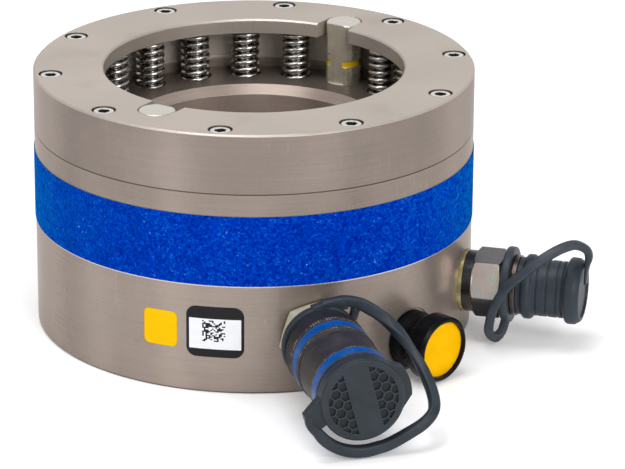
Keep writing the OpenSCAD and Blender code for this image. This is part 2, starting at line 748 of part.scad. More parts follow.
// The route runs round the cap at cap_s, then back to the ring at ring_s, and grows with the sleeve.
// A short leg closes a small slot beside the ring.
module coupler_cap_strap() {
  size = sleeve_diameter / 37;
  loop_r = cap_disc_diameter / 2 + 6.3 * size;
  cap_s = sleeve_front + cap_disc_thickness / 2 + 1;
  ring_s = coupler_hex_end + strap_ring_width / 2 + 0.1;
  loop = [for (a = [-140 : 9.4 : -74]) [cap_s, (loop_r + 0.018 * (a + 74)) * cos(a), (loop_r + 0.018 * (a + 74)) * sin(a)]];
  front = [[0, 12.5, -23], [0, 20.4, -19.4], [-1, 28, -15.8], [-4, 33.2, -12.6], [-9, 35.6, -10.4],
    [-17, 36.8, -7.6], [-25, 36.6, -4], [-31, 35.8, -0.8], [-39, 33.6, 4], [-46, 30.4, 8.8], [-52, 26.2, 13]];
  rear = [[5, 21.5, 16], [1.5, 16.6, 18.2], [0, 11, 19.4], [0, 6, 19.4], [0, 0.5, 18.2], [0, -4.5, 17.1]];
  leg = [[1, 15.6, 17], [0, 15.2, 14], [0, 14.3, 10.8]];
  color([0.16, 0.17, 0.18]) {
    strap_ring(coupler_angle, coupler_height, coupler_land_diameter / 2, coupler_ring_wall, coupler_hex_end + 0.1);
    strap(coupler_angle, coupler_height, concat(loop, [for (p = front) [cap_s, 0, 0] + size * p],
      [for (p = rear) [ring_s, 0, 0] + size * p]));
    strap(coupler_angle, coupler_height, [for (p = leg) [ring_s, 0, 0] + size * p]);
  }
}

module nipple_washer() {
  color([0.8, 0.7, 0.4]) washer(nipple_angle, nipple_height, spot_diameter - 0.6);
}

module nipple_body() {
  nose_r = nose_diameter / 2;
  groove = nose_front - 9;
  color([0.25, 0.25, 0.26]) on_side(nipple_angle, nipple_height) difference() {
    union() {
      turned([
        [0, port_floor + 0.2], [port_r - 0.8, port_floor + 0.2], [port_r, port_floor + 1],
        [port_r, fitting_s], [spot_diameter / 2 - 0.3, fitting_s], [spot_diameter / 2 - 0.3, nipple_hex_s + 0.5],
        [0, nipple_hex_s + 0.5]]);
      rotate([0, 0, nipple_hex_turn]) hexagon(nipple_hex, nipple_hex_s, nipple_hex_end);
      turned([
        [0, nipple_hex_s + 2], [nipple_neck_diameter / 2, nipple_hex_s + 2],
        [nipple_neck_diameter / 2, nipple_flange_s], [nipple_flange_diameter / 2, nipple_flange_s],
        [nipple_flange_diameter / 2, nose_s], [nose_r, nose_s], [nose_r, groove - 2.5],
        [nose_r - 1.3, groove - 1.2], [nose_r - 1.3, groove + 1.2], [nose_r, groove + 2.5],
        [nose_r, nose_front - 1.5], [nose_r - 1.5, nose_front], [0, nose_front]]);
    }
    translate([0, 0, port_floor]) cylinder(d = oil_way, h = nipple_chamber_s - port_floor + 1);
    translate([0, 0, nipple_chamber_s])
      cylinder(r = nipple_chamber_r, h = nipple_seat_s - nipple_chamber_s + eps);
    translate([0, 0, nipple_seat_s])
      cylinder(r = nipple_seat_r + location_clearance, h = nipple_seat_length + 1);
  }
}

module nipple_valve_seat() {
  color([0.7, 0.68, 0.6]) on_side(nipple_angle, nipple_height)
    valve_seat(nipple_seat_r, nipple_nose_r, nipple_seat_s, nipple_seat_length);
}

module nipple_poppet() {
  color([0.7, 0.7, 0.7]) on_side(nipple_angle, nipple_height)
    poppet(nipple_chamber_r, nipple_nose_r, nipple_seat_s, nipple_seat_length - 0.2);
}

module nipple_poppet_spring() {
  color([0.6, 0.6, 0.6]) on_side(nipple_angle, nipple_height)
    poppet_spring(nipple_chamber_r, nipple_chamber_s, nipple_seat_s);
}

// A tapered rubber cap with a beaded rim, four ribs and an end flange
module nipple_cap() {
  rim_r = nipple_cap_rim / 2;
  flange_r = nipple_cap_flange / 2;
  cavity_r = nose_diameter / 2 + 2 * running_clearance;
  flange_s = nipple_cap_front - 7;
  root_r = rim_r - 1.8;
  tip_r = rim_r - 3;
  rib_s = [for (i = [0 : 3]) nose_s + 11 + i * 3.2];
  color([0.15, 0.16, 0.17]) on_side(nipple_angle, nipple_height) difference() {
    union() {
      turned([
        [0, nose_s], [rim_r - 1, nose_s], [rim_r, nose_s + 1], [rim_r, nose_s + 4], [rim_r - 1, nose_s + 5],
        [root_r, nose_s + 5], [tip_r, flange_s], [flange_r - 1.5, flange_s], [flange_r, flange_s + 1.5],
        [flange_r, nipple_cap_front - 1], [flange_r - 1, nipple_cap_front], [0, nipple_cap_front]]);
      for (s = rib_s) ring(tip_r - 1, root_r, s, s + 1.4);
    }
    translate([0, 0, nose_s - 1]) cylinder(r = cavity_r, h = nose_length + 1.5);
    translate([0, 0, nipple_cap_front - 1]) cylinder(r = flange_r - 4, h = 2);
  }
}

// The route leaves the ring at ring_s, turns up over the cap and ends on its face at end_s
module nipple_cap_strap() {
  size = nipple_hex / 28;
  ring_s = nipple_hex_end + 0.5 + strap_ring_width / 2;
  end_s = nipple_cap_front + strap_thickness / 2 + 0.1;
  rear = [[0, -7, -14], [-1.5, -9.5, -20], [-5, -12, -22.2], [-7.5, -14, -19.6], [-7.4, -16.5, -15],
    [-5, -19, -6.5], [-0.6, -20.6, 1.6], [4, -21, 8.2], [9.4, -20.6, 13.3], [15, -19.5, 18.4],
    [20.6, -16.5, 22.3], [26, -12, 24.8], [31, -7, 25.2]];
  front = [[-1.6, -3.4, 22.4], [0, -1.4, 18.4], [0, 0, 14], [0, 0, 9], [0, 0, 4.5]];
  color([0.16, 0.17, 0.18]) {
    strap_ring(nipple_angle, nipple_height, nipple_neck_diameter / 2, nipple_ring_wall, nipple_hex_end + 0.5);
    strap(nipple_angle, nipple_height, concat([for (p = rear) [ring_s, 0, 0] + size * p],
      [for (p = front) [end_s, 0, 0] + size * p]));
  }
}

// A turned knob with a foot, a waist and a rim round a recessed disc
module knob() {
  r = knob_diameter / 2;
  foot_r = knob_foot_diameter / 2;
  top = spot_s + knob_length;
  floor_s = top - knob_disc_drop - knob_disc_thickness;
  color([0.06, 0.06, 0.06]) on_side(knob_angle, knob_height) turned([
    [stud_diameter / 2 + location_clearance, spot_s], [foot_r - 0.6, spot_s], [foot_r, spot_s + 0.6],
    [foot_r, spot_s + 4.5], [foot_r - 1, spot_s + 6], [foot_r - 1, spot_s + 8], [r - 0.6, spot_s + 12.5],
    [r, spot_s + 13.5], [r, top - 1.2], [r - 1.2, top], [r - knob_rim_wall, top],
    [r - knob_rim_wall, floor_s], [0, floor_s], [0, floor_s - 6],
    [stud_diameter / 2 + location_clearance, floor_s - 6]]);
}

module knob_disc() {
  top = spot_s + knob_length - knob_disc_drop;
  color([0.95, 0.68, 0.02]) on_side(knob_angle, knob_height)
    translate([0, 0, top - knob_disc_thickness])
      cylinder(r = knob_diameter / 2 - knob_rim_wall - location_clearance, h = knob_disc_thickness);
}

module knob_stud() {
  from = spot_s - stud_depth;
  to = spot_s + knob_length - knob_disc_drop - knob_disc_thickness - 6;
  color([0.5, 0.5, 0.5]) on_side(knob_angle, knob_height) turned([
    [0, from], [stud_diameter / 2 - 1, from], [stud_diameter / 2, from + 1], [stud_diameter / 2, to], [0, to]]);
}

return_springs_left();
return_springs_right();
cylinder_body();
top_ring();
ring_screws();
grip_band();
piston();
head_seal();
head_backup_ring();
skirt_seal();
skirt_backup_ring();
spring_guide_rods();
stroke_pins();
coupler_washer();
coupler_body();
coupler_valve_seat();
coupler_poppet();
coupler_poppet_spring();
coupler_balls();
coupler_snap_ring();
coupler_sleeve();
coupler_sleeve_spring();
coupler_rear_band();
coupler_front_band();
coupler_cap();
coupler_cap_strap();
nipple_washer();
nipple_body();
nipple_valve_seat();
nipple_poppet();
nipple_poppet_spring();
nipple_cap();
nipple_cap_strap();
knob();
knob_disc();
knob_stud();
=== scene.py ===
from math import cos, pi, radians, sin
import bpy
import numpy as np
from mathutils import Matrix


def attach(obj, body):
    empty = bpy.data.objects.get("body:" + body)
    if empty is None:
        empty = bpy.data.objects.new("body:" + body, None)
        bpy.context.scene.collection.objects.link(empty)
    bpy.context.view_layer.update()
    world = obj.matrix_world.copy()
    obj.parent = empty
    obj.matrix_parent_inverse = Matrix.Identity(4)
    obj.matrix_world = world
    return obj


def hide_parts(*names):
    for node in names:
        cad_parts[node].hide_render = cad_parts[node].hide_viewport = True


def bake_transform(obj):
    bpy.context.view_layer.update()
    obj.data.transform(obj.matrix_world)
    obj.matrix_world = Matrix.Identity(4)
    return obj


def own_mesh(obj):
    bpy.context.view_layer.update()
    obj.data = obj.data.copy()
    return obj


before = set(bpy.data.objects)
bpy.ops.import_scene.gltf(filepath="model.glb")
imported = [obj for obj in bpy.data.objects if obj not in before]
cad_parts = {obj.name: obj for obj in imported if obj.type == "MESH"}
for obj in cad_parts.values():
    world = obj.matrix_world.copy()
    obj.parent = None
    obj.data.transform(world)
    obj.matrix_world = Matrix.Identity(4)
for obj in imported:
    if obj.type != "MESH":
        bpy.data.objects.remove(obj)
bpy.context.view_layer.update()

# ---- Studio -------------------------------------------------------------------------------------------
# A wide sheet of pale paper under a soft dim sky. One large lamp hangs overhead and one stands at the front
# right, with weak ones on the left and at the back. The camera is a long lens, in front and a little above.
class Socket:
    """One socket of a node tree. Arithmetic on it adds Math nodes, and node() adds a node of any other type."""

    def __init__(self, tree, socket=None):
        self.tree, self.socket = tree, socket

    def node(self, kind, links=(), output=0, **settings):
        """Adds a node, sets its settings (stops are a ramp's places and colours), then each socket's value or
        link."""
        made = self.tree.nodes.new(kind)
        stops = settings.pop("stops", None)
        for name, value in settings.items():
            setattr(made, name, value)
        if stops:
            elements = made.color_ramp.elements
            elements[0].position, elements[1].position = stops[0][0], stops[-1][0]
            for place, _ in stops[1:-1]:
                elements.new(place)
            for element, (_, colour) in zip(elements, stops):
                element.color = colour
        for name, value in dict(links).items():
            if isinstance(value, Socket):
                self.tree.links.new(value.socket, made.inputs[name])
            else:
                made.inputs[name].default_value = value
        return Socket(self.tree, made.outputs[output])

    def math(self, operation, *values):
        """Adds a Math node on these values."""
        return self.node("ShaderNodeMath", enumerate(values), operation=operation)

    def __add__(self, other): return self.math("ADD", self, other)
    def __sub__(self, other): return self.math("SUBTRACT", self, other)
    def __rsub__(self, other): return self.math("SUBTRACT", other, self)
    def __mul__(self, other): return self.math("MULTIPLY", self, other)
    def __truediv__(self, other): return self.math("DIVIDE", self, other)
    def __rtruediv__(self, other): return self.math("DIVIDE", other, self)
    def __pow__(self, other): return self.math("POWER", self, other)
    def __gt__(self, other): return self.math("GREATER_THAN", self, other)
    def __lt__(self, other): return self.math("LESS_THAN", self, other)
    def __abs__(self): return self.math("ABSOLUTE", self)
    __radd__, __rmul__ = __add__, __mul__


def shade(code):
    """A colour from its screen code: each channel c becomes ((c + 0.055) / 1.055) ** 2.4 in light."""
    c = np.array([int(code[i:i + 2], 16) for i in (0, 2, 4)]) / 255
    return (*np.where(c > 0.04045, ((c + 0.055) / 1.055) ** 2.4, c / 12.92).tolist(), 1.0)


def finish(name, look):
    """A material: look(root) gives the values and links of the shader's sockets."""
    material = bpy.data.materials.new(name)
    material.use_nodes = True
    tree = material.node_tree
    shader = tree.nodes["Principled BSDF"]
    for socket, value in look(Socket(tree)).items():
        if isinstance(value, Socket):
            tree.links.new(value.socket, shader.inputs[socket])
        else:
            shader.inputs[socket].default_value = value
    return material


def put(name, points, faces, *materials):
    """A smooth piece from an array of points and rows of corners."""
    mesh = bpy.data.meshes.new(name)
    mesh.from_pydata(np.reshape(points, (-1, 3)).tolist(), [], faces)
    mesh.shade_smooth()
    piece = bpy.data.objects.new(name, mesh)
    for material in materials:
        mesh.materials.append(material)
    bpy.context.scene.collection.objects.link(piece)
    return piece


def place_of(root):
    """A point's place, by Object coordinates."""
    return root.node("ShaderNodeTexCoord", output="Object")


def split(vector, axes="XYZ"):
    """A vector's parts along these axes."""
    return [vector.node("ShaderNodeSeparateXYZ", {0: vector}, axis) for axis in axes]


def noise(root, scale, detail=3.0, vector=None, roughness=0.55):
    """Noise on Object coordinates, or on this vector, with scale features to the metre."""
    return root.node("ShaderNodeTexNoise", {"Vector": vector or place_of(root), "Scale": scale,
                                            "Detail": detail, "Roughness": roughness})


def mixed(factor, first, second):
    """A colour between two."""
    return factor.node("ShaderNodeMix", {0: factor, 6: first, 7: second}, 2, data_type="RGBA")


page_lift = 0.16


def paper(root):
    """Pale paper. What the camera and mirrors see of it is lifted a little, to the white of the page."""
    straight, mirrored, through = (root.node("ShaderNodeLightPath", output=f"Is {ray} Ray")
                                   for ray in ("Camera", "Glossy", "Transmission"))
    seen = root.math("MAXIMUM", root.math("MAXIMUM", straight, mirrored), through)
    fibre = noise(root, 900.0, 2.0, roughness=0.5)
    return {"Base Color": mixed(fibre, (0.9, 0.9, 0.9, 1), (0.93, 0.93, 0.93, 1)),
            "Emission Color": seen * page_lift, "Emission Strength": 1.0,
            "Roughness": 0.9, "Specular IOR Level": 0.1}


reach = 9.0
u, v = np.meshgrid(np.linspace(-reach, reach, 3), np.linspace(-reach, reach, 3), indexing="ij")
corner = np.add.outer(np.arange(2) * 3, np.arange(2)).ravel()[:, None] + np.array([0, 3, 4, 1])
floor = put("floor", np.stack([u, v, 0 * u], -1), corner.tolist(), finish("pale_paper", paper))

world = bpy.data.worlds.new("soft_sky")
bpy.context.scene.world = world
world.use_nodes = True
sky = Socket(world.node_tree)
up = split(sky.node("ShaderNodeTexCoord", output="Generated"), "Z")[0]
glow = sky.node("ShaderNodeValToRGB", {0: up}, stops=[
    (0.0, (0.75, 0.75, 0.75, 1)), (0.3, (0.5, 0.5, 0.5, 1)), (1.0, (0.36, 0.36, 0.37, 1))])
world.node_tree.links.new(glow.socket, world.node_tree.nodes["Background"].inputs["Color"])

aim = (0, 0, 0.05)
lamps = (("top", (-0.3, -0.1, 2.0), 1.2, 26.0), ("left", (-1.2, -1.0, 1.0), 0.7, 3.0),
         ("right", (0.9, -1.5, 0.9), 1.0, 18.0), ("back", (0.2, 2.2, 1.0), 2.2, 4.0))
for name, place, size, power in lamps:
    lamp = bpy.data.objects.new(name, bpy.data.lights.new(name, "AREA"))
    lamp.data.size, lamp.data.energy = size, power
    lamp.location = place
    away = np.array(place) - aim
    lamp.rotation_euler = (np.arctan2(np.hypot(*away[:2]), away[2]), 0, np.arctan2(away[1], away[0]) + pi / 2)
    bpy.context.scene.collection.objects.link(lamp)

camera = bpy.data.objects.new("camera", bpy.data.cameras.new("camera"))
camera.data.sensor_width, camera.data.lens = 36, 201.66
camera.data.shift_x, camera.data.shift_y = 0.0937, -0.0343
camera.location, camera.rotation_euler = (0, -1.5417, 0.6194), (radians(69.68), 0, 0)
bpy.context.scene.collection.objects.link(camera)
bpy.context.scene.camera = camera
bpy.context.scene.view_settings.view_transform = "Standard"


# ---- Cylinder -----------------------------------------------------------------------------------------
# A thick steel ring, turned all over and plated a warm grey, that stands on its flat base. The two ports and
# the knob's seat are milled into its side, and it carries everything else.
def stations(root, angle=None, height=0.0):
    """Where a point lies about a piece's axis: its station along it, two offsets across it and its radius.
    The axis is Z, or for a fitting on the side the level line at this angle and height."""
    x, y, z = split(place_of(root))
    if angle is None:
        along, across, rise = z, x, y
    else:
        c, s = cos(radians(angle)), sin(radians(angle))
        along, across, rise = x * c + y * s, y * c - x * s, z - height
    return along, across, rise, (across * across + rise * rise) ** 0.5


def fade(value, low, high):
    """0 at low, 1 at high, and straight between."""
    return value.node("ShaderNodeMapRange", {"Value": value, "From Min": low, "From Max": high})


def packed(x, y, z=0.0):
    """A vector from its three parts."""
    return x.node("ShaderNodeCombineXYZ", {0: x, 1: y, 2: z})


def tool_marks(where, across_scale, pitch, detail=2.0, roughness=0.55):
    """Noise on station plus radius, squeezed to the pitch, so that the marks run round the axis on sides and
    faces alike."""
    along, across, rise, radius = where
    squeezed = packed(across * across_scale, rise * across_scale, (along + radius) / pitch)
    return noise(along, 1.0, detail, squeezed, roughness)


def face_normal(root):
    """The face's own normal."""
    return root.node("ShaderNodeNewGeometry", output="Normal")


def facing_up(root):
    """How far a face looks up: the height of its normal."""
    return split(face_normal(root), "Z")[0]


def softened(root, radius):
    """The normal rounded over the edges by this radius, and how near an edge is: 1 less the cosine between the
    rounded normal and the face's own, from 0 at 0.01 to 1 at 0.14."""
    rounded = root.node("ShaderNodeBevel", {"Radius": radius}, samples=4)
    alike = root.node("ShaderNodeVectorMath", {0: rounded, 1: face_normal(root)}, "Value", operation="DOT_PRODUCT")
    return rounded, fade(1 - alike, 0.01, 0.14)


def bump(height, strength, distance, normal=None):
    """A normal that leans with the slope of this height, over this normal or the face's own."""
    links = {"Strength": strength, "Distance": distance, "Height": height}
    return height.node("ShaderNodeBump", {**links, "Normal": normal} if normal else links)


def scratches(root, turn, length, spread):
    """Thin scratches: the contour of noise that is stretched along one direction, shown where slow noise is
    high."""
    stretched = root.node("ShaderNodeMapping", {"Vector": place_of(root), "Rotation": turn,
                                                "Scale": (spread, length, length)})
    line = fade(abs(noise(root, 1.0, 1.0, stretched) - 0.5), 0.006, 0.0015)
    return line * fade(noise(root, 24.0, 2.0), 0.54, 0.66)


outer_side = 0.0985


def machined(name, pale, dark, rough, angle=None, height=0.0, pitch=0.0012, metal=0.35, wear=0.5, lines=(),
             lay=0.00006, coats=None):
    """Turned metal with tool marks of this pitch. Stains are slow noise, the plating's tone drifts round the
    axis, and worn edges and scratches are paler. Lines are heights, half widths, depths and tones of joints,
    darker strips, and painted highlights and painted shadows that run round the outer side. Coats(root, tone)
    changes the tone where a piece's faces differ."""
    def look(root):
        where = stations(root, angle, height)
        along, across, rise, radius = where
        tool = tool_marks(where, 16, pitch, 3.0, 0.6)
        stain, grain = noise(root, 32.0, 5.0, roughness=0.62), noise(root, 1400.0, 2.0)
        drift = noise(root, 1.0, 1.0, packed(across * 26 + 3.1, rise * 26, along * 2))
        rounded, edge = softened(root, 0.0005)
        scratch = root.math("MAXIMUM", scratches(root, (0.4, 0.2, 0.7), 14.0, 900.0),
                            scratches(root, (1.1, 0.5, 2.2), 20.0, 1100.0))
        cloud = fade(tool * 0.4 + stain * 0.5 + grain * 0.3 + drift * 1.2, 0.85, 1.55)
        tone = mixed(cloud, shade(dark), shade(pale))
        if coats:
            tone = coats(root, tone)
        tone = mixed(root.math("MAXIMUM", edge * wear, scratch * 0.2), tone, shade("d8d2cb"))
        for level, half, depth, code in lines:
            line = fade(abs(along - level), half * 1.3, half * 0.7) * (radius > outer_side)
            tone = mixed(line * depth, tone, shade(code))
        return {"Base Color": tone, "Metallic": metal,
                "Specular IOR Level": 0.3, "Specular Tint": (0.72, 0.66, 0.61, 1.0),
                "Roughness": rough + (tool - 0.5) * 0.16 + (stain - 0.5) * 0.2 - scratch * 0.08,
                "Normal": bump(tool + grain * 0.4 - scratch * 0.5, 0.25, lay, rounded)}
    return finish(name, look)


def dress(material, *names):
    """Gives CAD nodes a finish."""
    for name in names:
        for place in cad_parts[name].material_slots:
            place.material = material


def painted_bore_light(root, tone):
    """Painted light: the upright walls inside, less than 98.5 mm from the axis, are painted paler from about 97 mm
    up, most of all behind the springs."""
    along, _, _, radius = stations(root)
    wall = fade(abs(facing_up(root)), 0.4, 0.3) * (radius < outer_side) * fade(along, 0.0966, 0.0978)
    return mixed(wall * ((radius > 0.08) * 0.08 + 0.32), tone, shade("f4ebe0"))


below_seam = (0.0893, 0.0052, 0.18, "4a423d")
seam = (0.0945, 0.0003, 0.8, "2a2522")
# A painted highlight: a pale line under the band, where the groove's lower lip would catch the light.
band_lip_highlight = (0.0512, 0.0003, 0.6, "f2eeea")
# A painted shadow: a dark line round the base, standing in for its contact shadow on the floor.
foot_shadow_line = (0.0, 0.0009, 0.6, "2a2522")
dress(machined("warm_grey_plating", "a5978d", "80756d", 0.32, metal=0.55, pitch=0.0006, lay=0.00004,
               coats=painted_bore_light, lines=(below_seam, seam, band_lip_highlight, foot_shadow_line)), "cylinder_body")


# ---- Grip band ----------------------------------------------------------------------------------------
# A strip of blue abrasive tape, glued into a shallow groove round the cylinder for a sure hold. Its grit is
# crushed mineral under blue lacquer, and single grains catch the light.
def ramp(factor, stops):
    """A colour from a ramp of places and screen codes."""
    return factor.node("ShaderNodeValToRGB", {0: factor}, stops=[(place, shade(code)) for place, code in stops])


fine_grit, coarse_grit = 1500.0, 760.0
lacquer = ((0.1, "001180"), (0.45, "002aa4"), (0.72, "003fb2"), (0.92, "0a5cc8"), (1.0, "6ea4ea"))


def blue_grit(root):
    """Grains are cells of two sizes. Each has a tone of its own and a tilt of its own, added to the normal."""
    place = place_of(root)
    cells = lambda scale, output: root.node("ShaderNodeTexVoronoi", {"Vector": place, "Scale": scale}, output)
    vector = lambda operation, links: root.node("ShaderNodeVectorMath", links, operation=operation)
    red = lambda colour: root.node("ShaderNodeSeparateColor", {0: colour}, 0)
    fine, coarse, gap = cells(fine_grit, "Color"), cells(coarse_grit, "Color"), cells(fine_grit, "Distance")
    tone = red(fine) * 0.6 + red(coarse) * 0.4
    patch = noise(root, 60.0, 4.0)
    tilt = vector("SCALE", {0: vector("SUBTRACT", {0: coarse, 1: (0.5, 0.5, 0.5)}), "Scale": 0.55})
    lean = vector("NORMALIZE", {0: vector("ADD", {0: face_normal(root), 1: tilt})})
    return {"Base Color": ramp(tone * 0.8 + patch * 0.4 - gap * 0.12, lacquer),
            "Roughness": 0.6 - tone * 0.18, "Specular IOR Level": 0.0,
            "Sheen Weight": 0.4, "Sheen Roughness": 0.4, "Sheen Tint": (0.01, 0.5, 1.0, 1.0),
            "Normal": bump(tone - gap, 0.6, 0.0002, lean)}


dress(finish("blue_grit", blue_grit), "grip_band")


# ---- Side stickers ------------------------------------------------------------------------------------
# Two printed film stickers on the cylinder's side, left of the coupler: a plain yellow one, and a black one
# with a white panel and a patch of printed cells. They are pressed on and follow the curve.
body_r, film_r, film_thick = 0.102, 0.10212, 0.00016


def sticker(name, angle, middle, width, height, corner, material):
    """A patch of the cylinder r = 102.1 mm. A row at height y reaches w(y) to each side, where w is half the
    width, less in the corner rows, where it follows a circle. The other parameter goes straight from side to
    side."""
    bend = np.sin(np.linspace(0, pi / 2, 9))
    rise = height / 2 - corner + corner * bend
    y = np.concatenate([-rise[::-1], np.linspace(-rise[0], rise[0], 13)[1:-1], rise])
    past = np.clip(np.abs(y) - (height / 2 - corner), 0, corner)
    half = width / 2 - corner + np.sqrt(corner ** 2 - past ** 2)
    x = np.linspace(-1, 1, 33)[None, :] * half[:, None]
    turn = radians(angle) + x / body_r
    points = np.stack([film_r * np.cos(turn), film_r * np.sin(turn), middle + y[:, None] + 0 * x], -1)
    rows, columns = x.shape
    first = np.add.outer(np.arange(rows - 1) * columns, np.arange(columns - 1)).ravel()[:, None]
    piece = put(name, points, (first + np.array([0, 1, columns + 1, columns])).tolist(), material)
    flat = np.stack([x / width + 0.5, y[:, None] / height + 0.5 + 0 * x], -1).reshape(-1, 2)
    corners = np.empty(len(piece.data.loops), np.int32)
    piece.data.loops.foreach_get("vertex_index", corners)
    piece.data.uv_layers.new(name="flat").data.foreach_set("uv", flat[corners].ravel())
    skin = piece.modifiers.new("film", "SOLIDIFY")
    skin.thickness, skin.offset = film_thick, -1
    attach(piece, "cylinder")
    return piece


def yellow_film(root):
    """Yellow film, a little faded in slow patches, with a soft dirt line at its edge."""
    edge = softened(root, 0.0004)[1]
    tone = mixed(noise(root, 90.0, 5.0), shade("f4b600"), shade("fcc402"))
    return {"Base Color": mixed(edge * 0.5, tone, shade("8a6a10")),
            "Roughness": 0.36 + noise(root, 160.0, 4.0) * 0.2, "Specular IOR Level": 0.05}


def between(value, low, high):
    """1 between two limits and 0 elsewhere."""
    return (value > low) * (value < high)


def panel_film(root):
    """Black film with a white panel between u 0.05 to 0.95 and v 0.16 to 0.76, and random square cells in its
    middle, 14 across and 16 up."""
    u, v = split(root.node("ShaderNodeUVMap", uv_map="flat"), "XY")
    panel = between(u, 0.05, 0.95) * between(v, 0.16, 0.76)
    left, right, low, high = 0.28, 0.68, 0.31, 0.73
    patch = between(u, left, right) * between(v, low, high)
    cell = packed(root.math("FLOOR", (u - left) * 35), root.math("FLOOR", (v - low) * 38.1))
    dark = (root.node("ShaderNodeTexWhiteNoise", {"Vector": cell}, "Value") > 0.52) * patch
    worn = noise(root, 220.0, 5.0)
    black = mixed(worn, shade("0d0d0f"), shade("1c1c1e"))
    colour = mixed(panel, black, mixed(worn, shade("e3e6ea"), shade("f1f2f3")))
    return {"Base Color": mixed(dark, colour, shade("161618")), "Roughness": 0.34 + worn * 0.2,
            "Specular IOR Level": 0.2}


yellow = sticker("yellow_sticker", -114.2, 0.0287, 0.0164, 0.0168, 0.0026, finish("yellow_film", yellow_film))
sticker("panel_sticker", -99.8, 0.0292, 0.0262, 0.0241, 0.0045, finish("panel_film", panel_film))


# ---- Piston and seals ---------------------------------------------------------------------------------
# An annular steel piston with a bevelled seat for the puller, drilled with pockets for the springs. Rubber lip
# seals and plastic back-up rings lie in grooves round its head and its skirt.
def darkened_ledge(root, tone):
    """The level ledge round the seat is painted darker."""
    return mixed(fade(facing_up(root), 0.93, 0.98) * 0.85, tone, shade("4c443e"))


dress(machined("oiled_piston_steel", "b3a499", "8a7d74", 0.38, pitch=0.0009, metal=0.35, wear=0.75, coats=darkened_ledge),
      "piston")


def moulded(name, pale, dark, rough, gloss=0.25, pocket_shade=None):
    """Moulded rubber or plastic: slow cloudy tone, pores as fine noise in the bump, and edges rubbed paler.
    Pockets, given by their fitting's angle and height, two stations and a radius, get painted shade at the bottom."""
    def look(root):
        cloud, pores = noise(root, 70.0, 6.0, roughness=0.65), noise(root, 2600.0, 3.0)
        rounded, edge = softened(root, 0.0006)
        tone = mixed(fade(cloud * 0.8 + pores * 0.35, 0.38, 0.8), shade(dark), shade(pale))
        tone = mixed(edge * 0.3, tone, shade("676f77"))
        if pocket_shade:
            angle, height, low, high, reach = pocket_shade
            along, _, _, radius = stations(root, angle, height)
            # Painted shade: the bottoms of the pockets are painted near black.
            tone = mixed(between(along, low, high) * (radius < reach) * 0.6, tone, shade("0c0e11"))
        return {"Base Color": tone, "Roughness": rough + (cloud - 0.5) * 0.24, "Specular IOR Level": gloss,
                "Normal": bump(pores + cloud * 0.3, 0.12, 0.00012, rounded)}
    return finish(name, look)


dress(moulded("seal_rubber", "2e2e30", "1b1b1d", 0.5), "head_seal", "skirt_seal")
dress(moulded("backup_plastic", "d6cfb8", "bdb59c", 0.4, gloss=0.5), "head_backup_ring", "skirt_backup_ring")


# ---- Return springs and guide rods --------------------------------------------------------------------
# Eighteen springs of round steel wire push the piston back. Each stands in a pocket of the piston, round a
# ground rod that is pressed into the top ring, and has closed ends, ground flat.
def carried(path, side, profile, loop=False):
    """A profile carried along a path: point = path + a * side + b * (way x side), where way is the path's
    direction and side is made square to it. Returns points and corner rows, closed at both ends unless the path
    is a loop, and turned so that the volume they hold is above 0."""
    way = (np.roll(path, -1, 0) - np.roll(path, 1, 0)) if loop else np.gradient(path, axis=0)
    way = way / np.linalg.norm(way, axis=1, keepdims=True)
    side = side - (side * way).sum(1, keepdims=True) * way
    side = side / np.linalg.norm(side, axis=1, keepdims=True)
    other = np.cross(way, side)
    profile = np.broadcast_to(profile, (len(path), *np.shape(profile)[-2:]))
    points = path[:, None] + profile[..., :1] * side[:, None] + profile[..., 1:] * other[:, None]
    n, m = points.shape[:2]
    i, j = np.meshgrid(np.arange(n if loop else n - 1), np.arange(m), indexing="ij")
    ahead, beside = (i + 1) % n, (j + 1) % m
    faces = np.stack([i * m + j, ahead * m + j, ahead * m + beside, i * m + beside], -1).reshape(-1, 4)
    points, spin = points.reshape(-1, 3), np.arange(m)
    ends = []
    if not loop:
        points = np.vstack([points, path[:1], path[-1:]])
        last = (n - 1) * m
        ends = np.concatenate([np.stack([spin, (spin + 1) % m, 0 * spin + n * m], -1),
                               np.stack([last + (spin + 1) % m, last + spin, 0 * spin + n * m + 1], -1)]).tolist()
    a, b, c, d = (points[faces[:, k]] for k in range(4))
    volume = (a * np.cross(b, c)).sum() + (a * np.cross(c, d)).sum()
    rows = [*faces.tolist(), *ends]
    return points, rows if volume > 0 else [row[::-1] for row in rows]


def coil(radius, wire, length, turns, steps=26):
    """A closed coil along Z from 0 to its length: the angle grows evenly, and the height is the sum of a pitch
    that is one wire in the end turns and wider between. The wire's ends are ground flat at 0 and at the
    length."""
    turn = np.linspace(0, turns, turns * steps + 1)
    ease = np.clip(np.minimum(turn, turns - turn) - 0.6, 0, 0.5) / 0.5
    ease = ease * ease * (3 - 2 * ease)
    climb = np.cumsum(ease)
    slow = np.cumsum(1 - ease) * wire / steps
    inner = length - wire * 0.9 - slow[-1]
    height = wire * 0.45 + slow - slow[0] + (climb - climb[0]) / (climb[-1] - climb[0]) * (inner + slow[0])
    out = np.stack([np.cos(turn * 2 * pi), np.sin(turn * 2 * pi), 0 * turn], -1)
    path = radius * out + np.stack([0 * turn, 0 * turn, height], -1)
    around = np.linspace(0, 2 * pi, 12, endpoint=False)
    points, rows = carried(path, out, wire / 2 * np.stack([np.cos(around), np.sin(around)], -1))
    points[:, 2] = np.clip(points[:, 2], 0, length)
    return points, rows


def joined(pieces):
    """Several surfaces as one: their points end to end, and their corner rows counted on."""
    starts = np.cumsum([0] + [len(points) for points, _ in pieces]).tolist()
    rows = [[k + start for k in row] for start, (_, rows) in zip(starts, pieces) for row in rows]
    return np.vstack([points for points, _ in pieces]), rows


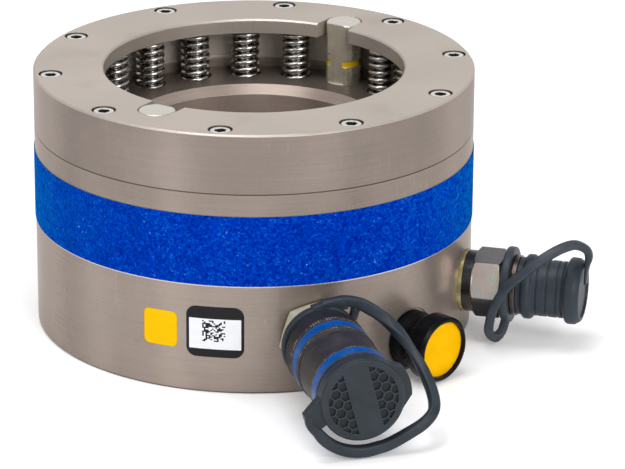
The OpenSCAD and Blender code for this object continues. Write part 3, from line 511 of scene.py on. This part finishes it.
def spring_wire(root):
    """Drawn wire: bright, with fine lines and oily darker patches."""
    oil, line = noise(root, 120.0, 5.0), noise(root, 3200.0, 2.0)
    tone = mixed(fade(oil + line * 0.3, 0.45, 0.85), shade("b3b0ac"), shade("eeebe6"))
    return {"Base Color": tone, "Metallic": 1.0, "Roughness": 0.12 + oil * 0.18,
            "Normal": bump(line, 0.15, 0.00005)}


wire_finish = finish("drawn_spring_wire", spring_wire)
spring_circle, spring_foot, spring_step, in_bank = 0.0793, 0.06855, radians(18), 9
one, rows = coil(0.0059, 0.0023, 0.0465, 13)
for name, first in (("return_springs_left", 57), ("return_springs_right", 237)):
    turn = radians(first) + spring_step * np.arange(1, in_bank + 1)
    c, s = np.cos(turn)[:, None], np.sin(turn)[:, None]
    x = spring_circle + one[:, 0]
    bank = np.stack([c * x - s * one[:, 1], s * x + c * one[:, 1], spring_foot + one[:, 2] + 0 * c], -1)
    springs = put(name + "_wound", *joined([(points, rows) for points in bank]), wire_finish)
    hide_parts(name)
    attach(springs, "cylinder")
    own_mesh(springs)

dress(machined("ground_rod_steel", "eae7e2", "c4c0bb", 0.16, pitch=0.0006, metal=1.0), "spring_guide_rods")


# ---- Top ring and its screws --------------------------------------------------------------------------
# A turned steel ring with a plate that the springs press against, held on the cylinder by ten socket screws
# of bright zinc-plated steel in counterbores.
screws, screw_circle, first_screw, well_r = 10, 0.0944, radians(9), 0.0055


def from_screws(root):
    """How far a point is from the nearest screw's axis. The ten axes stand 94.4 mm from the middle, the first at
    9 degrees: with the turn past the nearest one as a, the square is r * r + R * R - 2 * r * R * cos(a)."""
    _, across, rise, radius = stations(root)
    step = 2 * pi / screws
    turn = root.math("FRACT", (root.math("ARCTAN2", rise, across) - first_screw) / step + (screws + 0.5)) - 0.5
    swing = root.math("COSINE", turn * step)
    return (radius * radius + screw_circle ** 2 - radius * swing * (2 * screw_circle)) ** 0.5


def ring_light_shade_and_stains(root, tone):
    """The side carries eight soft bands of painted reflection, and the walls inside carry the bore's painted
    light.
    The top and its bevel are painted paler, a painted light from above, and old oil stains them in places. A
    painted shade lies round each screw's head, inside its counterbore."""
    _, across, rise, _ = stations(root)
    # Painted reflection: eight soft light and dark bands round the side.
    bands = root.math("COSINE", root.math("ARCTAN2", rise, across) * 8 + radians(200))
    tone = mixed(fade(bands, 0.9, -0.9) * 0.35, tone, shade("6a605a"))
    # Painted light: faces that look up are painted paler, as if lit from above.
    tone = mixed(fade(facing_up(root), 0.4, 0.65) * 0.6, painted_bore_light(root, tone), shade("d8cfc6"))
    tone = mixed(fade(noise(root, 38.0, 4.0), 0.56, 0.72) * 0.2, tone, shade("8d7d6c"))
    # Painted shade: a dark ring inside each counterbore, round the screw's head.
    return mixed(fade(from_screws(root), well_r + 0.0002, well_r) * 0.85, tone, shade("1b1613"))


dress(machined("plated_ring", "9f928a", "7b716a", 0.36, metal=0.5, pitch=0.0006, lay=0.00004, wear=0.3,
               coats=ring_light_shade_and_stains, lines=(seam,)), "top_ring")


def plated(name, pale, dark, rough, tints=(), angle=None, height=0.0, metal=0.95, coats=None):
    """Zinc plating on a small turned or milled piece: fine lay round the axis, mottled crystals, and where it is
    passivated thin tints that drift from patch to patch."""
    def look(root):
        lay = tool_marks(stations(root, angle, height), 60, 0.0007)
        mottle, crystal = noise(root, 210.0, 5.0), noise(root, 1700.0, 2.0)
        rounded, edge = softened(root, 0.0004)
        tone = mixed(fade(lay * 0.5 + mottle * 0.6 + crystal * 0.3, 0.45, 0.95), shade(dark), shade(pale))
        if tints:
            rainbow = ramp(noise(root, 95.0, 3.0), tints)
            tone = mixed(fade(noise(root, 60.0, 2.0), 0.35, 0.6) * 0.6, tone, rainbow)
        tone = mixed(edge * 0.5, tone, shade("e2dfd8"))
        return {"Base Color": coats(root, tone) if coats else tone, "Metallic": metal,
                "Roughness": rough + (mottle - 0.5) * 0.2,
                "Normal": bump(lay + crystal * 0.5, 0.2, 0.00006, rounded)}
    return finish(name, look)


def painted_socket_shade(root, tone):
    """Painted shade darkens the socket, under 3 mm from the axis and below the head's top, and the head's rounded
    rim.
    """
    along, far = stations(root)[0], from_screws(root)
    socket = (far < 0.0030) * fade(along, 0.1217, 0.1213) * fade(along, 0.1176, 0.1184)
    tone = mixed(socket * 0.9, tone, shade("0e0c0b"))
    return mixed(fade(far, 0.0047, 0.0050) * 0.8, tone, shade("221d1a"))


dress(plated("bright_zinc_screws", "f0ede8", "cfcbc5", 0.24, metal=0.7, coats=painted_socket_shade), "ring_screws")


# ---- Stroke pins --------------------------------------------------------------------------------------
# Two steel pins that stand on the piston and rise through slots in the top ring. Each has a flat towards the
# bore and a groove filled with yellow paint, which shows at the ring's top when the stroke is used up.
pin_angle, groove_low, groove_high, groove_r, flat_at = radians(57), 0.1010, 0.1042, 0.0079, -0.0067


def stroke_pin(root):
    """Ground steel with fine upright lines. Paint fills the groove: z from 101 to 104.2 mm, under 7.9 mm from
    the pin's axis, and not on the flat, 6.7 mm from it."""
    x, y, z = split(place_of(root))
    c, s = cos(pin_angle), sin(pin_angle)
    out, across = abs(x * c + y * s) - spring_circle, y * c - x * s
    near = (out * out + across * across) ** 0.5 < groove_r
    paint = between(z, groove_low, groove_high) * near * (out > flat_at)
    lines = noise(root, 1.0, 2.0, packed(x * 2200, y * 2200, z * 30))
    cloud = noise(root, 110.0, 5.0)
    rounded, edge = softened(root, 0.0005)
    steel = mixed(fade(lines * 0.3 + cloud * 0.8, 0.35, 0.8), shade("cac4ae"), shade("e8e4d2"))
    # Edges are worn paler, and faces that look up, the pin's top, are painted paler: a painted light from above.
    worn = root.math("MAXIMUM", edge * 0.6, fade(facing_up(root), 0.7, 0.9) * 0.8)
    steel = mixed(worn, steel, shade("d2cdc6"))
    return {"Base Color": mixed(paint, steel, mixed(cloud, shade("e8b800"), shade("ffd824"))),
            "Metallic": 0.7 - paint * 0.7, "Roughness": 0.3 + (cloud - 0.5) * 0.2 + paint * 0.1,
            "Normal": bump(lines, 0.15, 0.00006, rounded)}


dress(finish("ground_pin_steel", stroke_pin), "stroke_pins")


# ---- Coupler ------------------------------------------------------------------------------------------
# A quick coupler screwed into a port over a sealing washer: a yellow zinc body with a valve, eight locking
# balls and a sprung sleeve of coated steel, with a blue plastic band let into each of its two collars.
coupler_angle, coupler_height = -75.0, 0.028
straw = ((0.3, "dcdcc0"), (0.45, "d2d6c2"), (0.55, "e4dcd2"), (0.7, "d8dece"))
gold = ((0.35, "c9ac5a"), (0.5, "e0d39a"), (0.65, "b48f43"))
dress(plated("straw_zinc", "e2e1cd", "bebda6", 0.32, straw, coupler_angle, coupler_height, 0.4), "coupler_body")
dress(plated("gold_washer", "d9bf74", "9a7c38", 0.3, gold, coupler_angle, coupler_height), "coupler_washer")
valve_steel = plated("ground_valve_steel", "cfccc8", "a7a39e", 0.24, angle=coupler_angle, height=coupler_height)
dress(valve_steel, "coupler_valve_seat", "coupler_poppet", "coupler_balls", "coupler_snap_ring")
dot_rows = (0.1304, 0.1318, 0.1413, 0.1641)


def sleeve_coat(root):
    """A rough black-brown coating. Beside the bands, rows of small bare dots run round the sleeve: bright where
    the station is close to a row's and the sine of 90 times the angle is high. The rear collar is blacker."""
    along, across, rise, _ = stations(root, coupler_angle, coupler_height)
    around = root.math("SINE", root.math("ARCTAN2", rise, across) * 90.0)
    dots = sum(fade(abs(along - row), 0.0006, 0.0003) * (around > 0.1) for row in dot_rows)
    dots = dots * fade(noise(root, 260.0, 3.0), 0.42, 0.6)
    cloud, speck = noise(root, 130.0, 6.0, roughness=0.7), noise(root, 1300.0, 3.0, roughness=0.7)
    rounded, edge = softened(root, 0.0005)
    tone = mixed(fade(cloud * 0.5 + speck * 0.8, 0.45, 0.85), shade("0e0d0f"), shade("3f3b3a"))
    tone = mixed(fade(along, 0.1330, 0.1300) * 0.6, tone, shade("08080a"))
    tone = mixed(edge * 0.4, tone, shade("64605c"))
    return {"Base Color": mixed(dots * 0.55, tone, shade("b8ae98")), "Specular IOR Level": 0.3,
            "Roughness": 0.5 + (cloud - 0.5) * 0.25,
            "Normal": bump(speck + dots * 0.4, 0.6, 0.0002, rounded)}


def band_paint(root):
    """Blue moulded plastic, semi-gloss, rubbed a little paler in patches."""
    rub = noise(root, 150.0, 6.0, roughness=0.7)
    rounded, edge = softened(root, 0.0003)
    tone = mixed(fade(rub, 0.4, 0.72), shade("00438a"), shade("0a58a0"))
    return {"Base Color": mixed(edge * 0.3, tone, shade("6f95cc")), "Specular IOR Level": 0.25,
            "Roughness": 0.34 + (rub - 0.5) * 0.3,
            "Normal": bump(noise(root, 1900.0), 0.1, 0.00006, rounded)}


dress(finish("sleeve_coating", sleeve_coat), "coupler_sleeve")
dress(finish("blue_band", band_paint), "coupler_rear_band", "coupler_front_band")


def fitting(route, angle, height):
    """Points from stations along, across and above a side fitting's axis, in millimetres, to the tool's frame."""
    s, t, u = np.moveaxis(np.asarray(route, float) / 1000, -1, 0)
    c, n = cos(radians(angle)), sin(radians(angle))
    return np.stack([s * c - t * n, s * n + t * c, height + u], -1)


def side_spring(name, angle, height, radius, wire, first, length, turns):
    """One of the coils inside a fitting: the same wound wire, laid along the fitting's axis."""
    points, rows = coil(radius, wire, length, turns)
    laid = fitting(np.stack([first + points[:, 2], points[:, 0], points[:, 1]], -1), angle, height)
    piece = put(name + "_wound", laid, rows, wire_finish)
    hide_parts(name)
    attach(piece, "cylinder")
    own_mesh(piece)


side_spring("coupler_poppet_spring", coupler_angle, coupler_height, 5.6, 1.0, 119.85, 20.9, 6)
side_spring("coupler_sleeve_spring", coupler_angle, coupler_height, 14.1, 1.5, 123.85, 20.9, 5)


# ---- Coupler cap and strap ----------------------------------------------------------------------------
# A dust cap of charcoal rubber, moulded in one with a strap that loops round it and ends in a ring behind the
# sleeve. The strap is free between the ring and the cap.
cap_rubber = moulded("charcoal_rubber", "333b44", "22282f", 0.46)
comb_pocket_shade = (coupler_angle, coupler_height, 0.1790, 0.1800, 0.0157)
dress(moulded("charcoal_comb", "2d343b", "1e2429", 0.46, pocket_shade=comb_pocket_shade), "coupler_cap")


def smooth_route(points, steps=10):
    """A curve through points: each span is the Catmull-Rom cubic of its two points and their neighbours."""
    p = np.asarray(points, float)
    p = np.vstack([2 * p[0] - p[1], p, 2 * p[-1] - p[-2]])
    t = np.linspace(0, 1, steps, endpoint=False)[None, :, None]
    a, b, c, d = (p[k:len(p) - 3 + k, None] for k in range(4))
    spans = 0.5 * (2 * b + (c - a) * t + (2 * a - 5 * b + 4 * c - d) * t ** 2 + (3 * b - a - 3 * c + d) * t ** 3)
    return np.vstack([spans.reshape(-1, 3), p[-2:-1]])


def oblong(width, thickness, power=0.5, count=24):
    """A rounded rectangle: half sizes times cosine and sine, each raised to a power below one, with its sign
    kept."""
    a = np.linspace(0, 2 * pi, count, endpoint=False) + 0.01
    return np.stack([width / 2 * np.sign(np.cos(a)) * np.abs(np.cos(a)) ** power,
                     thickness / 2 * np.sign(np.sin(a)) * np.abs(np.sin(a)) ** power], -1)


ring_wide = 4.0


def tether(name, angle, height, runs, ring_s, ring_r, wall, rubber):
    """A strap. Each run is a rounded rectangle carried along a smooth route: at these shares of it the first of
    its sizes lies outwards from the fitting's axis (0) or along it (1). A ring of the same rubber goes round the
    fitting."""
    pieces = []
    for route, shares, lies, thick, wide in runs:
        path = smooth_route(route)
        at = lambda values: np.interp(np.linspace(0, 1, len(path)), shares, values)[:, None]
        outward = path * (0, 1, 1)
        outward = outward / np.linalg.norm(outward, axis=1, keepdims=True)
        profile = oblong(1, 1)[None] * np.stack([at(thick), at(wide)], -1)
        pieces.append(carried(path, outward * (1 - at(lies)) + at(lies) * (1, 0, 0), profile))
    a = np.linspace(0, 2 * pi, 72, endpoint=False)
    out = np.stack([0 * a, np.cos(a), np.sin(a)], -1)
    middle = out * (ring_r + wall / 2) + (ring_s, 0, 0)
    points, rows = joined([*pieces, carried(middle, out, oblong(wall, ring_wide, 0.4), loop=True)])
    piece = put(name + "_moulded", fitting(points, angle, height), rows, rubber)
    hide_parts(name)
    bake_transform(piece)


cap_s, ring_s, loop_r = 177.05, 115.1, 25.2
turn = np.array([-165, -159.5, -153, *np.arange(-145.4, -74, 8.9)])
swell = loop_r + 0.018 * (turn + 74) + 1.5 * np.exp(-((turn + 157) / 6) ** 2)
loop = np.stack([cap_s + 0 * turn, swell * np.cos(np.radians(turn)), swell * np.sin(np.radians(turn))], -1)
front = np.array([(0, 12.5, -23), (0, 20.4, -19.4), (-1, 28, -15.8), (-4, 33.2, -12.6), (-9, 35.6, -10.4),
                  (-17, 36.8, -7.6), (-25, 36.6, -4), (-31, 35.8, -0.8), (-39, 33.6, 4), (-46, 30.4, 8.8),
                  (-52, 26.2, 13)]) + (cap_s, 0, 0)
rear = np.array([(5, 21.5, 16), (1.5, 16.6, 18.2), (0, 11, 19.4), (0, 6, 19.4), (0, 0.5, 18.2),
                 (0, -4.5, 17.1)]) + (ring_s, 0, 0)
strap = (np.vstack([loop, front, rear]), (0, 0.14, 0.33, 0.62, 0.83, 1), (0, 0, 0, 0, 1, 1),
         (2.6, 5.2, 5.2, 4.6, 4, 4), (4, 4.4, 4.8, 4.8, 5.6, 3))
leg = (np.array([(1, 15.6, 17), (0, 15.2, 14), (0, 14.3, 10.8)]) + (ring_s, 0, 0),
       (0, 1), (1, 1), (4, 4), (3.8, 3.4))
web = (np.array([(0, 11.6, 16.6), (0, 9, 18), (0, 5, 19), (0, 0, 18.8)]) + (ring_s, 0, 0),
       (0, 0.3, 1), (1, 1, 1), (3.6, 3.6, 3.6), (2, 5.2, 4))
tether("coupler_cap_strap", coupler_angle, coupler_height, (strap, leg, web), ring_s, 15.25, 2.8,
       cap_rubber)


# ---- Nipple -------------------------------------------------------------------------------------------
# The coupling nipple for the return line, screwed into the other port over a gold-coloured washer: a dark
# plated body with a hexagon, a thin flange and a nose with its own valve.
nipple_angle, nipple_height, hexagon_lean = -16.0, 0.026, radians(22)
pale_gold = ((0.35, "cbbd80"), (0.5, "e2dcb2"), (0.65, "b59c58"))
dress(plated("gold_nipple_washer", "d8cf98", "a4965a", 0.26, pale_gold, nipple_angle, nipple_height, 0.7),
      "nipple_washer")
rainbow_tints = ((0.32, "cdbcb5"), (0.44, "d9c6bf"), (0.5, "b9d2d0"), (0.55, "dcd7b4"), (0.62, "d3b9bd"))


def nipple_plating(root):
    """Black-nickel plating. The hexagon's two upright flats, which lean by 22 degrees, carry a painted reflection:
    they are painted bright and show rainbow tints that drift over them. Its other flats are painted grey above and
    near black below, a painted shade, and the flange, told by its station, is painted dark brown, a painted shade."""
    along, across, rise, _ = stations(root, nipple_angle, nipple_height)
    rainbow = ramp(noise(root, 85.0, 3.0), rainbow_tints)
    hexagon, flange = between(along, 0.1075, 0.1206), between(along, 0.1256, 0.1279)
    upright = fade(abs(rise * cos(hexagon_lean) + across * sin(hexagon_lean)), 0.0083, 0.0077)
    mottle, crystal = noise(root, 260.0, 5.0), noise(root, 1800.0, 2.0)
    rounded, edge = softened(root, 0.0005)
    black = mixed(mottle, shade("363637"), shade("585654"))
    grey = mixed(mottle, shade("6e6c6b"), shade("888583"))
    # Painted shade: the hexagon's other flats go from grey above to near black below.
    shaded = mixed(fade(rise, -0.0060, 0.0060), shade("201e1d"), grey)
    # Painted reflection: the upright flats are painted bright.
    bright = mixed(fade(mottle, 0.3, 0.7), rainbow, shade("d6c4bb"))
    tone = mixed(hexagon, black, mixed(upright, shaded, bright))
    # Painted shade: the flange is painted dark brown.
    tone = mixed(flange, tone, mixed(mottle, shade("26221f"), shade("5e524b")))
    return {"Base Color": mixed(edge * 0.5, tone, shade("cfcbc6")), "Metallic": 0.9,
            "Roughness": 0.3 + (mottle - 0.5) * 0.2,
            "Normal": bump(crystal + mottle, 0.2, 0.00006, rounded)}


dress(finish("nipple_plating", nipple_plating), "nipple_body")
dress(valve_steel, "nipple_valve_seat", "nipple_poppet")
side_spring("nipple_poppet_spring", nipple_angle, nipple_height, 4.6, 1.0, 112.55, 23.9, 6)


# ---- Nipple cap and strap -----------------------------------------------------------------------------
# A grooved dust cap of the same rubber, pushed over the nipple's nose, on a strap that starts from a ring in
# front of the hexagon, turns under it and comes up over the cap to its face.
def spun(profile, count=96):
    """A profile of stations and radii turned about the axis. Its first and last points lie on the axis, as single
    points."""
    a = np.linspace(0, 2 * pi, count, endpoint=False)
    s, r = np.array(profile[1:-1], float).T[:, :, None]
    points = np.stack([s + 0 * a, r * np.cos(a), r * np.sin(a)], -1).reshape(-1, 3)
    points = np.vstack([points, [(profile[0][0], 0, 0), (profile[-1][0], 0, 0)]])
    i, j = np.meshgrid(np.arange(len(s) - 1), np.arange(count), indexing="ij")
    ahead, beside = (i + 1) * count, (j + 1) % count
    sides = np.stack([i * count + j, i * count + beside, ahead + beside, ahead + j], -1).reshape(-1, 4)
    last, spin = len(points) - 2 - count, np.arange(count)
    first = np.stack([(spin + 1) % count, spin, 0 * spin + len(points) - 2], -1)
    end = np.stack([last + spin, last + (spin + 1) % count, 0 * spin + len(points) - 1], -1)
    return points, [*sides[:, ::-1].tolist(), *first.tolist(), *end.tolist()]


wall_r, groove_bed = 13.2, 12.4
inside = [(148.3, 0), (148.3, 10.3), (127.8, 10.3)]
rear_bead = [(127.8, 12.9), (128.2, 13.3), (130.4, 13.3), (130.9, 14.5), (131.6, 15), (134, 15), (134.9, 14.4),
             (135.4, 13.4), (136.4, wall_r)]
grooves = [(s + share * w, r) for s, w in ((137.6, 1.0), (142.3, 1.2), (147.0, 1.2), (149.6, 0.9))
           for share, r in ((-0.5, wall_r), (-0.4, groove_bed), (0.4, groove_bed), (0.5, wall_r))]
rim = [(150.7, wall_r), (150.9, 14.8), (151.4, 15.3), (152, 15.5), (155, 15.4), (155.6, 15.1), (157.2, 14.1),
       (157.7, 13.6), (157.8, 13.1)]
face = [(157.8, 12.2), (157.5, 11.9), (156.9, 11.8), (156.8, 0)]
points, rows = spun([*inside, *rear_bead, *grooves, *rim, *face])
nipple_cap = put("nipple_cap_moulded", fitting(points, nipple_angle, nipple_height), rows, cap_rubber)
nipple_cap.data.set_sharp_from_angle(angle=0.7)
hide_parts("nipple_cap")
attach(nipple_cap, "nipple_dust_cap")

ring_s, end_s = 123.3, 160.2
rear = np.array([(0, -7, -14), (-1.5, -9.5, -20), (-4, -12, -22.2), (-6.2, -14, -19.6), (-6, -16.5, -15),
                 (-4, -19, -6.5), (-0.4, -20.6, 1.6), (4, -21, 8.2), (9.4, -20.6, 13.3), (15, -19.5, 18.4),
                 (20.6, -16.5, 22.3), (26, -12, 24.8), (31, -7, 25.2)]) + (ring_s, 0, 0)
front = np.array([(-1.6, -3.4, 22.4), (-0.2, -1.4, 18.4), (-0.9, 0, 14), (-1.4, 0, 9),
                  (-1.5, 0, 4.5)]) + (end_s, 0, 0)
strap = (np.vstack([rear, front]), (0, 0.1, 0.25, 0.75, 0.84, 0.92, 1), (1, 1, 0, 0, 1, 1, 1),
         (4, 4, 3.8, 3.8, 3.6, 1.8, 1.4), (4.6, 4.3, 4.3, 4.3, 4.4, 5, 5))
tether("nipple_cap_strap", nipple_angle, nipple_height, (strap,), ring_s, 12.55, 5.1,
       moulded("grey_rubber", "40474f", "2e343b", 0.44))


# ---- Knob ---------------------------------------------------------------------------------------------
# A turned knob of glossy black plastic on a steel stud in the cylinder, with a yellow disc let into its end
# inside a raised rim.
knob_angle, knob_height = -46.0, 0.0156


def knob_gloss(root):
    """Black plastic, semi-gloss, with faint turning rings and a film of finger marks."""
    rings = tool_marks(stations(root, knob_angle, knob_height), 20, 0.0006)
    smear = noise(root, 140.0, 5.0, roughness=0.65)
    rounded, edge = softened(root, 0.0007)
    tone = mixed(smear, shade("060607"), shade("141416"))
    return {"Base Color": mixed(edge * 0.3, tone, shade("2e2e32")),
            "Roughness": 0.22 + (smear - 0.4) * 0.3, "Specular IOR Level": 0.09,
            "Normal": bump(rings, 0.12, 0.00005, rounded)}


def disc_paint(root):
    """Yellow lacquer on a thin disc, a little uneven, with fine scratches."""
    cloud = noise(root, 150.0, 5.0)
    scratch = scratches(root, (0.3, 0.9, 0.2), 60.0, 1500.0)
    tone = mixed(fade(cloud, 0.3, 0.7), shade("efb000"), shade("f8be00"))
    return {"Base Color": mixed(scratch * 0.4, tone, shade("c08e08")),
            "Roughness": 0.32 + cloud * 0.16, "Specular IOR Level": 0.02,
            "Normal": bump(noise(root, 900.0) - scratch, 0.08, 0.00005)}


dress(finish("black_knob_plastic", knob_gloss), "knob")
dress(finish("yellow_disc_lacquer", disc_paint), "knob_disc")
dress(machined("stud_steel", "a9a5a0", "827e79", 0.34, knob_angle, knob_height, 0.0008, 1.0), "knob_stud")
